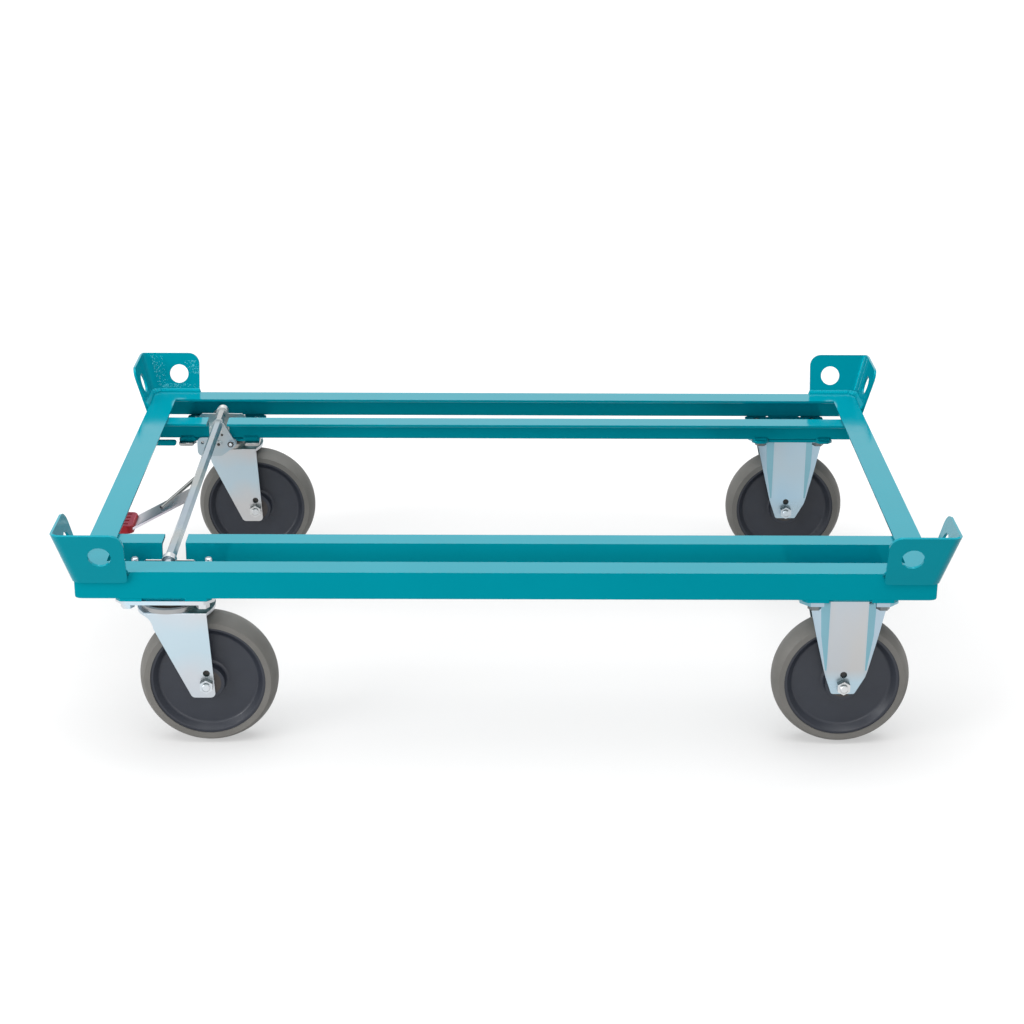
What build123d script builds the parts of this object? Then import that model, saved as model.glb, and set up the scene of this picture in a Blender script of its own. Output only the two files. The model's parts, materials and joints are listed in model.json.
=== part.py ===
from build123d import *
import math
import os

# Pallet dolly on two fixed and two swivel casters, with a foot brake.
# Millimetres, +Z up. The origin is on the floor under the middle of the frame, +X towards the fixed casters.
os.makedirs("parts", exist_ok=True)

# Frame of rolled angle
frame_length = 1210.0
frame_width = 810.0
rail_leg = 40.0
rail_thickness = 5.0
root_radius = 5.0
toe_radius = 2.5
inner_inset = 122.0
rod_notch = 34.0
weld_gap = 0.5

# Corner brackets
bracket_thickness = 4.0
bracket_reach = 75.5
bracket_below = 14.0
bracket_above = 64.0
bracket_flare = 16.0
bracket_bend = 10.0
bracket_top_round = 19.0
bracket_low_round = 6.0
bracket_hole = 32.0
bracket_hole_in = 40.5
bracket_hole_up = 29.5

# Casters
caster_height = 238.0
caster_shift = 5.0
swivel_inset = 123.5
fixed_inset = 120.5
swivel_offset = 52.5
fork_spread = 60.0
fork_thickness = 5.0
spare_hole_up = 17.0
spare_hole = 10.0

# Wheels
tread_clearance = 7.0
wheel_width = 48.0
tread_depth = 17.0
tread_crown = 9.0
rim_inset = 2.0
rim_lip = 4.0
rim_slope = 8.0
rim_web = 26.0
lip_round = 1.5
web_round = 5.0
hub_round = 0.8
hub_wall = 5.0
hub_gap = 0.3
bore_gap = 5.0

# Plates and their bolts
mount_length = 135.0
mount_thickness = 5.0
mount_corner = 6.5
mount_notch = 60.0
plate_length = 140.0
plate_width = 110.0
plate_thickness = 6.0
plate_corner = 14.0
plate_recess = 90.0
recess_depth = 12.0
swivel_spacing = 106.0
fixed_spacing = 97.0
cross_spacing = 80.0
bolt_size = 10.0
bolt_flats = 17.0
bolt_head = 6.4
bolt_nut = 8.4
long_reach = 28.0
short_reach = 6.5
bolt_play = 0.5
bolt_bevel = 1.2
washer_radius = 10.0
washer_thickness = 2.0

# Axles
axle_size = 12.0
axle_flats = 18.0
axle_head = 7.5
axle_nut = 10.0
axle_end = 4.0
sleeve_size = 17.0
bearing_size = 40.0
bearing_width = 12.0
running_fit = 0.05

# Fixed forks: half widths of the proud panel, the slanted facets and the flanges
panel_top = 27.4
panel_low = 27.6
facet_head = 30.0
facet_top = 39.5
facet_middle = 37.5
facet_low = 29.8
flange_top = 54.6
flange_middle = 44.5
flange_low = 31.5
fork_lean = 2.5
head_recess = 2.0
top_recess = 8.0
middle_recess = 4.1
low_recess = 0.3
flange_drop = 1.0
hat_up = 24.0
hat_middle_up = 77.0
tongue_up = 13.7
tongue_half = 28.4
foot_half = 16.5
foot_drop = 13.0
foot_round = 4.0
fork_bend = 3.0
ear_notch = 74.0

# Swivel heads and forks
kingpin_radius = 11.0
kingpin_flange = 5.0
kingpin_head = 4.0
kingpin_foot = 3.2
race_radius = 33.0
race_bevel = 3.0
ring_radius = 41.0
ring_gap = 1.0
ring_height = 8.5
ring_bevel = 2.0
crown_drop = 26.0
crown_back = 32.0
back_bulge = 13.5
front_bulge = 9.0
swivel_gap = 0.4
knee_back = 20.0
knee_drop = 20.0
knee_radius = 26.0
leg_front_top = 4.0
leg_front_foot = 12.0
leg_back_foot = 21.5
leg_foot_drop = 21.0
leg_foot_round = 7.0

# Brake bar and its brackets
rod_flats = 14.0
rod_drop = 12.0
rod_journal = 6.5
rod_end_in = 60.0
sleeve_wall = 3.95
sleeve_length = 14.0
wing_in = 78.5
wing_half = 40.0
wing_bevel = 6.0
wing_drop = 1.0
wing_thickness = 3.0
wing_foot = 36.0

# Cams, plungers and shoes
cam_width = 8.0
cam_throw = 16.3
cam_angle = 35.0
cam_nose = 5.0
cam_gap = 0.5
brake_angle = 20.0
plunger_radius = 5.95
plunger_head = 15.0
plunger_head_height = 6.0
plunger_bevel = 1.0
shoe_gap = 4.5
shoe_thickness = 6.0
shoe_width = 30.0
shoe_start = 112.0
shoe_sweep = 15.0
shoe_boss = 10.0
shoe_boss_height = 6.0
shoe_boss_up = 0.4

# Lever and stop plate
lever_thickness = 5.0
lever_gap = 0.5
lever_eye = 9.5
lever_round = 8.0
lever_reach = 34.0
lever_spread = 20.0
pin_radius = 3.5
pin_head = 4.0
pin_rim = 2.0
stop_thickness = 6.0
stop_round = 9.0
stop_left = 28.0
stop_right = 20.0
stop_drop = 15.0
stop_hole = 3.0
slot_play = 0.5
slot_margin = 2.0

# Pedal
pedal_slope = 28.5
arm_width = 52.0
arm_thickness = 4.0
arm_middle = -57.0
arm_bend = 106.0
arm_tip = 40.0
arm_round = 6.0
pad_lead = 1.5
pad_length = 50.0
pad_width = 63.0
pad_thickness = 12.5
pad_sink = 5.9
pad_corner = 10.0
pad_edge = 2.5
groove_pitch = 14.0
groove_length = 32.0
groove_width = 4.0
groove_depth = 2.0
brace_radius = 3.0
brace_along = 57.0
brace_head_y = 12.0
brace_side = 4.0

# Lug
lug_length = 54.0
lug_height = 9.0
lug_rise = 29.0
lug_foot = 12.0
lug_below = 11.0
lug_thickness = 6.0
lug_set_back = 2.0

# Levels and positions that follow from the sizes above
wheel_diameter = caster_height - crown_drop - fork_thickness - tread_clearance
wheel_radius = wheel_diameter / 2
plate_bottom = caster_height - plate_thickness
rail_bottom = caster_height + mount_thickness
frame_top = rail_bottom + rail_leg
inner_leg = rail_leg - rail_thickness
inner_face = frame_width / 2 - inner_inset
caster_y = frame_width / 2 - inner_inset / 2 + caster_shift
swivel_x = swivel_inset - frame_length / 2
fixed_x = frame_length / 2 - fixed_inset
frame_inside = frame_length / 2 - rail_thickness
fork_face = fork_spread / 2 + fork_thickness
crown_top = caster_height - crown_drop
crown_bottom = crown_top - fork_thickness
rod_z = frame_top - rod_drop
rod_at = (swivel_x, rod_z)
head_bottom = plate_bottom - washer_thickness - bolt_head
cam_low = rod_z - cam_throw * math.sin(math.radians(cam_angle)) - cam_nose - cam_gap


def save(piece, name):
    piece.label = name
    export_step(piece, f"parts/{name}.step")


def place(piece, *points):
    with BuildPart() as group:
        with Locations(*points):
            add(piece)
    return group.part


def opposite(piece):
    with BuildPart() as copy:
        mirror(piece, about=Plane.XZ)
    return copy.part


def both_sides(piece):
    with BuildPart() as pair:
        add(piece)
        mirror(piece, about=Plane.XZ)
    return pair.part


def turned(piece, angle):
    with BuildPart() as copy:
        add(piece, rotation=(0, 0, angle))
    return copy.part


def tube(outer, inner, length):
    with BuildPart() as body:
        with BuildSketch(Plane.XZ.offset(-length / 2)):
            Circle(outer)
            Circle(inner, mode=Mode.SUBTRACT)
        extrude(amount=length)
    return body.part


# Angle section with its heel at -offset and its flange turned towards the middle
def angle_section(offset, leg, plane):
    toe = -offset + leg
    inside = -offset + rail_thickness
    under = rail_bottom + leg - rail_thickness
    with BuildSketch(plane) as section:
        with BuildLine():
            Polyline(
                (-offset, rail_bottom),
                (inside, rail_bottom),
                (inside, under),
                (toe, under),
                (toe, under + rail_thickness),
                (-offset, under + rail_thickness),
                close=True,
            )
        make_face()
        fillet(section.vertices().sort_by_distance((inside, under))[0], root_radius)
        fillet(section.vertices().sort_by_distance((inside, rail_bottom))[0], toe_radius)
        fillet(section.vertices().sort_by_distance((toe, under))[0], toe_radius)
    return section.sketch


# Outer rails, mitred at both ends and bevelled at the corner behind the bracket's bend
def outer_rail(length, offset):
    half = length / 2
    with BuildPart() as rail:
        extrude(angle_section(offset, rail_leg, Plane.YZ), amount=half, both=True)
        split(bisect_by=Plane((half, -offset, 0), z_dir=(1, 1, 0)), keep=Keep.BOTTOM)
        split(bisect_by=Plane((-half, -offset, 0), z_dir=(-1, 1, 0)), keep=Keep.BOTTOM)
        split(bisect_by=Plane((half - bracket_bend, -offset, 0), z_dir=(1, -1, 0)), keep=Keep.BOTTOM)
        split(bisect_by=Plane((bracket_bend - half, -offset, 0), z_dir=(-1, -1, 0)), keep=Keep.BOTTOM)
    return rail.part


long_rail = outer_rail(frame_length, frame_width / 2)
end_rail = outer_rail(frame_width, frame_length / 2)
save(long_rail, "front_rail")
save(turned(long_rail, 180), "rear_rail")
save(turned(end_rail, -90), "left_end_rail")
save(turned(end_rail, 90), "right_end_rail")


# Inner rails, bevelled where they tuck into the root of the end rails
def inner_rail(start, stop):
    section = angle_section(inner_face, inner_leg, Plane.YZ.offset(start))
    with BuildPart() as rail:
        extrude(section, amount=stop - start, dir=(1, 0, 0))
        ends = rail.edges().filter_by(Axis.Y).group_by(Axis.Z)[-1]
        chamfer(ends.filter_by(lambda e: abs(e.center().X) > frame_inside - weld_gap), root_radius + weld_gap)
    return rail.part


long_inner = inner_rail(swivel_x + rod_notch / 2, frame_inside)
stub = inner_rail(-frame_inside, swivel_x - rod_notch / 2)
save(long_inner, "front_inner_rail")
save(opposite(long_inner), "rear_inner_rail")
save(both_sides(stub), "inner_rail_stubs")


# Corner bracket at the front left: two flared legs bent from one plate
def is_bend(edge):
    way = edge.tangent_at(0.5)
    return edge.length > leg_height / 2 and min(abs(way.X), abs(way.Y), abs(way.Z)) > 0.05


tilt = math.radians(bracket_flare)
frame_corner = Vector(-frame_length / 2, -frame_width / 2, frame_top - bracket_below)
leg_plane = Plane(frame_corner, x_dir=(1, 0, 0), z_dir=(0, -math.cos(tilt), -math.sin(tilt)))
mitre_plane = Plane(frame_corner, z_dir=(1, -1, 0))
leg_height = (bracket_below + bracket_above) / math.cos(tilt)
with BuildPart() as bracket:
    with BuildSketch(leg_plane) as leg_outline:
        with Locations((bracket_reach, 0)):
            Rectangle(bracket_reach + leg_height, leg_height, align=(Align.MAX, Align.MIN))
        fillet(leg_outline.vertices().sort_by_distance((bracket_reach, 0))[0], bracket_low_round)
        fillet(leg_outline.vertices().sort_by_distance((bracket_reach, leg_height))[0], bracket_top_round)
        with Locations((bracket_hole_in, (bracket_hole_up + bracket_below) / math.cos(tilt))):
            Circle(bracket_hole / 2, mode=Mode.SUBTRACT)
    extrude(amount=bracket_thickness)
    split(bisect_by=mitre_plane, keep=Keep.TOP)
    mirror(about=mitre_plane)
    fillet(bracket.edges().filter_by(is_bend).sort_by(Axis.X)[-1], bracket_bend)
    fillet(bracket.edges().filter_by(is_bend).sort_by(Axis.X)[0], bracket_bend + bracket_thickness)

save(bracket.part, "corner_bracket_front_left")
save(opposite(bracket.part), "corner_bracket_rear_left")
save(turned(bracket.part, 180), "corner_bracket_rear_right")
save(turned(opposite(bracket.part), 180), "corner_bracket_front_right")

swivel_grid = [(i * swivel_spacing / 2, j * cross_spacing / 2) for i in (-1, 1) for j in (-1, 1)]
fixed_grid = [(i * fixed_spacing / 2, j * cross_spacing / 2) for i in (-1, 1) for j in (-1, 1)]
bolt_hole = bolt_size / 2 + bolt_play


# Mounting plates welded under the frame, drawn at the front with the outer edge towards -Y
def mounting_plate(x, grid, centre_hole):
    outer = -frame_width / 2
    inner = -inner_face + rail_thickness
    with BuildPart() as plate:
        with BuildSketch(Plane.XY.offset(caster_height)) as outline:
            with Locations((x, (outer + inner) / 2)):
                Rectangle(mount_length, inner - outer)
            chamfer(outline.vertices(), mount_corner)
            with Locations((x, outer)):
                Rectangle(mount_notch, 2 * rail_thickness, mode=Mode.SUBTRACT)
            with Locations(*[(x + i, -caster_y + j) for i, j in grid]):
                Circle(bolt_size / 2, mode=Mode.SUBTRACT)
            if centre_hole:
                with Locations((x, -caster_y)):
                    Circle(centre_hole, mode=Mode.SUBTRACT)
        extrude(amount=mount_thickness)
    return plate.part


swivel_mount = mounting_plate(swivel_x, swivel_grid, kingpin_radius + kingpin_flange)
save(both_sides(swivel_mount), "swivel_mounting_plates")
save(both_sides(mounting_plate(fixed_x, fixed_grid, 0)), "fixed_mounting_plates")


# Caster bolts from below with their washers, and nuts on the inner row of each swivel plate
def caster_bolt(reach):
    with BuildPart() as bolt:
        with BuildSketch(Plane.XY.offset(head_bottom)):
            RegularPolygon(bolt_flats / 2, 6, major_radius=False)
        extrude(amount=bolt_head)
        with BuildSketch(Plane.XY.offset(head_bottom + bolt_head)):
            Circle(bolt_size / 2)
        extrude(amount=caster_height + reach - head_bottom - bolt_head)
        chamfer(bolt.edges().group_by(Axis.Z)[-1], bolt_bevel)
    return bolt.part


with BuildPart() as washer:
    with BuildSketch(Plane.XY.offset(plate_bottom - washer_thickness)):
        Circle(washer_radius)
        Circle(bolt_hole, mode=Mode.SUBTRACT)
    extrude(amount=washer_thickness)

with BuildPart() as nut:
    with BuildSketch(Plane.XY.offset(rail_bottom)):
        RegularPolygon(bolt_flats / 2, 6, major_radius=False)
        Circle(bolt_size / 2, mode=Mode.SUBTRACT)
    extrude(amount=bolt_nut)

inner_row = caster_y - cross_spacing / 2
outer_row = caster_y + cross_spacing / 2
long_points = [(swivel_x + i * swivel_spacing / 2, j * inner_row) for i in (-1, 1) for j in (-1, 1)]
short_points = [(swivel_x + i * swivel_spacing / 2, j * outer_row) for i in (-1, 1) for j in (-1, 1)]
short_points += [(fixed_x + i, j * caster_y + k) for i, k in fixed_grid for j in (-1, 1)]
with BuildPart() as caster_bolts:
    with Locations(*long_points):
        add(caster_bolt(long_reach))
    with Locations(*short_points):
        add(caster_bolt(short_reach))

save(caster_bolts.part, "caster_bolts")
save(place(washer.part, *long_points, *short_points), "caster_washers")
save(place(nut.part, *long_points), "caster_nuts")

# Wheel about the Y axis through the origin: crowned tread, dished rim and two bearings
rim_radius = wheel_radius - tread_depth
edge_radius = wheel_radius - tread_crown
tread_half = wheel_width / 2
hub_half = fork_spread / 2 - hub_gap
hub_radius = bearing_size / 2 + hub_wall
seat = hub_half - bearing_width
rim_half = tread_half - rim_inset
lip_radius = rim_radius - rim_lip
web_radius = lip_radius - rim_slope
half_profile = [
    (sleeve_size / 2 + bore_gap, seat),
    (bearing_size / 2, seat),
    (bearing_size / 2, hub_half),
    (hub_radius, hub_half),
    (hub_radius, rim_web / 2),
    (web_radius, rim_web / 2),
    (lip_radius, rim_half),
    (rim_radius, rim_half),
]
rim_rounds = [(hub_radius, hub_half, hub_round), (hub_radius, rim_web / 2, web_round)]
rim_rounds += [(web_radius, rim_web / 2, web_round), (lip_radius, rim_half, lip_round)]

with BuildPart() as tread:
    with BuildSketch():
        with BuildLine():
            Polyline(
                (edge_radius, -tread_half),
                (rim_radius, -tread_half),
                (rim_radius, tread_half),
                (edge_radius, tread_half),
            )
            ThreePointArc((edge_radius, tread_half), (wheel_radius, 0), (edge_radius, -tread_half))
        make_face()
    revolve(axis=Axis.Y)

with BuildPart() as rim:
    with BuildSketch() as rim_section:
        with BuildLine():
            Polyline(*half_profile, *[(r, -y) for r, y in reversed(half_profile)], close=True)
        make_face()
        for r, y, size in rim_rounds:
            for side in (-1, 1):
                fillet(rim_section.vertices().sort_by_distance((r, side * y))[0], size)
    revolve(axis=Axis.Y)

bearing = tube(bearing_size / 2, sleeve_size / 2 + running_fit, bearing_width)
bearing_pair = place(bearing, (0, seat + bearing_width / 2, 0), (0, -seat - bearing_width / 2, 0))
wheel_points = {
    "front_left": (swivel_x + swivel_offset, -caster_y, wheel_radius),
    "rear_left": (swivel_x + swivel_offset, caster_y, wheel_radius),
    "front_right": (fixed_x, -caster_y, wheel_radius),
    "rear_right": (fixed_x, caster_y, wheel_radius),
}
for corner, point in wheel_points.items():
    save(place(tread.part, point), f"wheel_tread_{corner}")
    save(place(rim.part, point), f"wheel_rim_{corner}")
    save(place(bearing_pair, point), f"wheel_bearings_{corner}")

# Axle bolt with its nut on the -Y side, and the sleeve between the fork legs
with BuildPart() as axle_bolt:
    with BuildSketch(Plane.XZ.offset(-fork_face - axle_head)):
        RegularPolygon(axle_flats / 2, 6, major_radius=False)
    extrude(amount=axle_head)
    with BuildSketch(Plane.XZ.offset(-fork_face)):
        Circle(axle_size / 2)
    extrude(amount=2 * fork_face + axle_nut + axle_end)
    chamfer(axle_bolt.edges().group_by(Axis.Y)[0], bolt_bevel)

with BuildPart() as axle_nut_part:
    with BuildSketch(Plane.XZ.offset(fork_face)):
        RegularPolygon(axle_flats / 2, 6, major_radius=False, rotation=30)
        Circle(axle_size / 2, mode=Mode.SUBTRACT)
    extrude(amount=axle_nut)

axle_sleeve = tube(sleeve_size / 2, axle_size / 2, fork_spread)
fixed_points = [wheel_points["front_right"], wheel_points["rear_right"]]
save(place(axle_bolt.part, *fixed_points), "fixed_axle_bolts")
save(place(axle_nut_part.part, *fixed_points), "fixed_axle_nuts")
save(place(axle_sleeve, *fixed_points), "fixed_axle_sleeves")
for side in ("front", "rear"):
    point = wheel_points[f"{side}_left"]
    save(place(axle_bolt.part, point), f"swivel_axle_bolt_{side}")
    save(place(axle_nut_part.part, point), f"swivel_axle_nut_{side}")
    save(place(axle_sleeve, point), f"swivel_axle_sleeve_{side}")


# Pressed leg of the fixed fork, seen from above: a proud middle panel, slanted facets and set-back flanges
def pressed_section(level, half):
    outside = half + [(-x, y) for x, y in reversed(half)]
    inside = [(x, y + fork_thickness) for x, y in reversed(outside)]
    with BuildSketch(Plane.XY.offset(level)) as section:
        with BuildLine():
            Polyline(*[(x + fork_lean, y - fork_face) for x, y in outside + inside], close=True)
        make_face()
    return section.sketch


def hat_section(level, panel, facet, flange, recess):
    return pressed_section(level, [(-flange, recess), (-facet, recess), (-panel, 0)])


def panel_section(level, panel, facet, recess):
    return pressed_section(level, [(-facet, recess), (-panel, 0)])


hat_bottom = wheel_radius + hat_up
flange_level = head_bottom - flange_drop
with BuildPart() as fork_leg:
    add(hat_section(hat_bottom, panel_low, facet_low, flange_low, low_recess))
    add(hat_section(wheel_radius + hat_middle_up, panel_top, facet_middle, flange_middle, middle_recess))
    add(hat_section(flange_level, panel_top, facet_top, flange_top, top_recess))
    loft(ruled=True)
    add(panel_section(flange_level, panel_top, facet_top, top_recess))
    add(panel_section(plate_bottom, panel_top, facet_head, head_recess))
    loft(ruled=True)
    with BuildSketch(Plane.XZ.offset(fork_spread / 2)) as tongue:
        with BuildLine():
            Polyline(
                (fork_lean - flange_low, hat_bottom),
                (fork_lean - tongue_half, wheel_radius + tongue_up),
                (-foot_half, wheel_radius - foot_drop),
                (foot_half, wheel_radius - foot_drop),
                (fork_lean + tongue_half, wheel_radius + tongue_up),
                (fork_lean + flange_low, hat_bottom),
                close=True,
            )
        make_face()
        fillet(tongue.vertices().group_by(Axis.Y)[0], foot_round)
    extrude(amount=fork_thickness)

with BuildPart() as fixed_fork:
    add(fork_leg.part)
    mirror(fork_leg.part, about=Plane.XZ)
    with BuildSketch(Plane.XY.offset(plate_bottom)) as ears:
        Rectangle(plate_length, plate_width)
        chamfer(ears.vertices(), plate_corner)
        with Locations((0, plate_width / 2), (0, -plate_width / 2)):
            Rectangle(ear_notch, plate_width - 2 * fork_face, mode=Mode.SUBTRACT)
        with Locations(*fixed_grid):
            Circle(bolt_hole, mode=Mode.SUBTRACT)
    extrude(amount=plate_thickness)
    bends = fixed_fork.edges().filter_by(Axis.X).group_by(Axis.Z)[-1]
    fillet(bends.filter_by(lambda e: e.length > panel_top and abs(e.center().Y) > fork_spread / 2), fork_bend)
    with BuildSketch(Plane.XZ):
        with Locations((0, wheel_radius)):
            Circle(axle_size / 2)
        with Locations((0, wheel_radius + spare_hole_up)):
            Circle(spare_hole / 2)
    extrude(amount=2 * fork_face, both=True, mode=Mode.SUBTRACT)

save(place(fixed_fork.part, (fixed_x, -caster_y, 0)), "fixed_fork_front")
save(place(fixed_fork.part, (fixed_x, caster_y, 0)), "fixed_fork_rear")

# Swivel caster drawn about the kingpin axis, front one with its recess towards +Y
swivel_front = (swivel_x, -caster_y, 0)
swivel_pair = [swivel_front, (swivel_x, caster_y, 0)]

with BuildPart() as swivel_plate:
    with BuildSketch(Plane.XY.offset(plate_bottom)) as outline:
        Rectangle(plate_length, plate_width)
        chamfer(outline.vertices(), plate_corner)
        with Locations((0, plate_width / 2)):
            Rectangle(plate_recess, 2 * recess_depth, mode=Mode.SUBTRACT)
        with Locations(*swivel_grid):
            Circle(bolt_hole, mode=Mode.SUBTRACT)
        Circle(kingpin_radius, mode=Mode.SUBTRACT)
    extrude(amount=plate_thickness)

plate_front = place(swivel_plate.part, swivel_front)
save(plate_front, "swivel_plate_front")
save(opposite(plate_front), "swivel_plate_rear")

with BuildPart() as race:
    with BuildSketch(Plane.XY.offset(crown_top + swivel_gap)):
        Circle(race_radius)
        Circle(kingpin_radius + kingpin_flange, mode=Mode.SUBTRACT)
    extrude(amount=plate_bottom - crown_top - swivel_gap)
    chamfer(race.edges().filter_by(GeomType.CIRCLE).sort_by(SortBy.RADIUS)[-2:].sort_by(Axis.Z)[-1], race_bevel)

# Hollow kingpin: a flange under the crown, the shank and a riveted head on the plate
with BuildPart() as kingpin:
    with BuildSketch(Plane.XY.offset(crown_bottom - hub_gap - kingpin_foot)):
        Circle(kingpin_radius + kingpin_flange)
    extrude(amount=kingpin_foot)
    with BuildSketch(Plane.XY.offset(crown_bottom - hub_gap)):
        Circle(kingpin_radius)
    extrude(amount=caster_height + hub_gap - crown_bottom)
    with BuildSketch(Plane.XY.offset(caster_height)):
        Circle(kingpin_radius + kingpin_foot)
    extrude(amount=kingpin_head)
    with BuildSketch(Plane.XY.offset(crown_bottom - 2 * kingpin_flange)):
        Circle(plunger_radius + running_fit)
    extrude(amount=2 * (crown_drop + kingpin_flange), mode=Mode.SUBTRACT)

save(place(race.part, *swivel_pair), "swivel_races")
save(place(kingpin.part, *swivel_pair), "kingpins")

with BuildPart() as ring:
    with BuildSketch(Plane.XY.offset(crown_top)):
        Circle(ring_radius)
        Circle(race_radius + ring_gap, mode=Mode.SUBTRACT)
    extrude(amount=ring_height)
    chamfer(ring.edges().filter_by(GeomType.CIRCLE).sort_by(Axis.Z)[-2:].sort_by(SortBy.RADIUS)[-1], ring_bevel)

# Swivel fork: a crown rounded at both ends, two raked legs and the bend between them
leg_front = swivel_offset + leg_front_top
leg_foot = wheel_radius - leg_foot_drop
knee = (-knee_back, crown_bottom - knee_drop)
with BuildPart() as swivel_fork:
    with BuildSketch(Plane.XY.offset(crown_bottom)):
        with BuildLine():
            ThreePointArc((-crown_back, -fork_face), (-crown_back - back_bulge, 0), (-crown_back, fork_face))
            Line((-crown_back, fork_face), (leg_front, fork_face))
            ThreePointArc((leg_front, fork_face), (leg_front + front_bulge, 0), (leg_front, -fork_face))
            Line((leg_front, -fork_face), (-crown_back, -fork_face))
        make_face()
    extrude(amount=fork_thickness)
    fillet(swivel_fork.edges().filter_by(Axis.X).group_by(Axis.Z)[-1], fork_bend)
    with BuildSketch(Plane.XZ.offset(fork_spread / 2), Plane.XZ.offset(-fork_face)) as leg:
        with BuildLine():
            RadiusArc((-crown_back, crown_bottom), knee, knee_radius)
            Polyline(
                knee,
                (swivel_offset - leg_back_foot, leg_foot),
                (swivel_offset + leg_front_foot, leg_foot),
                (leg_front, crown_bottom),
                (-crown_back, crown_bottom),
            )
        make_face()
        fillet(leg.vertices().group_by(Axis.Y)[0], leg_foot_round)
    extrude(amount=fork_thickness)
    with BuildSketch(Plane.XZ):
        with Locations((swivel_offset, wheel_radius)):
            Circle(axle_size / 2)
        with Locations((swivel_offset, wheel_radius + spare_hole_up)):
            Circle(spare_hole / 2)
    extrude(amount=2 * fork_face, both=True, mode=Mode.SUBTRACT)
    with BuildSketch(Plane.XY.offset(crown_bottom)):
        Circle(kingpin_radius + running_fit)
    extrude(amount=fork_thickness, mode=Mode.SUBTRACT)

for side, point in zip(("front", "rear"), swivel_pair):
    save(place(swivel_fork.part, point), f"swivel_fork_{side}")
    save(place(ring.part, point), f"seal_ring_{side}")

# Plunger in the kingpin and the curved shoe over the tread
shoe_inner = wheel_radius + shoe_gap
shoe_outer = shoe_inner + shoe_thickness
shoe_top = wheel_radius + math.sqrt(shoe_outer**2 - (swivel_offset - plunger_radius) ** 2) + shoe_boss_up
axle_at = (swivel_offset, wheel_radius)
with BuildPart() as plunger:
    with BuildSketch(Plane.XY.offset(shoe_top)):
        Circle(plunger_radius)
    extrude(amount=cam_low - plunger_head_height - shoe_top)
    with BuildSketch(Plane.XY.offset(cam_low - plunger_head_height)):
        Circle(plunger_head)
    extrude(amount=plunger_head_height)
    chamfer(plunger.edges().group_by(Axis.Z)[-1], plunger_bevel)

with BuildPart() as shoe:
    with BuildSketch(Plane.XZ.offset(-shoe_width / 2)):
        with BuildLine():
            under = CenterArc(axle_at, shoe_inner, shoe_start, shoe_sweep)
            over = CenterArc(axle_at, shoe_outer, shoe_start, shoe_sweep)
            Line(under @ 0, over @ 0)
            Line(under @ 1, over @ 1)
        make_face()
    extrude(amount=shoe_width)
    with BuildSketch(Plane.XY.offset(shoe_top - shoe_boss_height)):
        Circle(shoe_boss)
    extrude(amount=shoe_boss_height)
    with BuildSketch(Plane.XZ.offset(-shoe_width / 2)):
        with Locations(axle_at):
            Circle(shoe_inner)
    extrude(amount=shoe_width, mode=Mode.SUBTRACT)

for side, point in zip(("front", "rear"), swivel_pair):
    save(place(plunger.part, point), f"brake_plunger_{side}")
    save(place(shoe.part, point), f"brake_shoe_{side}")

# Brake bar: hexagon between the brackets, round journals at both ends
rod_half = frame_width / 2 - rod_end_in
journal_start = frame_width / 2 - wing_in
rod_turn = pedal_slope - 30
with BuildPart() as brake_rod:
    with BuildSketch(Plane.XZ.offset(-journal_start)):
        with Locations(rod_at):
            RegularPolygon(rod_flats / 2, 6, major_radius=False, rotation=rod_turn)
    extrude(amount=2 * journal_start)
    with BuildSketch(Plane.XZ.offset(-rod_half)):
        with Locations(rod_at):
            Circle(rod_journal)
    extrude(amount=2 * rod_half)

save(brake_rod.part, "brake_rod")

# Brackets that carry the bar: an upright plate with a foot, and a sleeve through it
wing_top = rod_z - wing_drop
with BuildPart() as rod_bracket:
    with BuildSketch(Plane.XZ.offset(journal_start)) as wings:
        with Locations((swivel_x, rail_bottom)):
            Rectangle(2 * wing_half, wing_top - rail_bottom, align=(Align.CENTER, Align.MIN))
        chamfer(wings.vertices().group_by(Axis.Y)[-1], wing_bevel)
    extrude(amount=wing_thickness)
    with BuildSketch(Plane.XY.offset(rail_bottom)):
        with Locations((swivel_x, -journal_start)):
            Rectangle(2 * wing_half, wing_foot, align=(Align.CENTER, Align.MIN))
    extrude(amount=wing_thickness)
    with BuildSketch(Plane.XZ.offset(journal_start)):
        with Locations(rod_at):
            Circle(rod_journal + running_fit + sleeve_wall)
    extrude(amount=sleeve_length)
    with BuildSketch(Plane.XZ.offset(journal_start)):
        with Locations(rod_at):
            Circle(rod_journal + running_fit)
    extrude(amount=sleeve_length, mode=Mode.SUBTRACT)

save(both_sides(rod_bracket.part), "rod_brackets")

# Cams on the ends of the bar
nose = math.radians(cam_angle)
nose_at = (swivel_x - cam_throw * math.cos(nose), rod_z - cam_throw * math.sin(nose))
with BuildPart() as cam:
    with BuildSketch(Plane.XZ.offset(rod_half)):
        with Locations(rod_at):
            Circle(rod_journal)
        with Locations(nose_at):
            Circle(cam_nose)
        make_hull()
    extrude(amount=cam_width)

save(both_sides(cam.part), "brake_cams")

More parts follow.
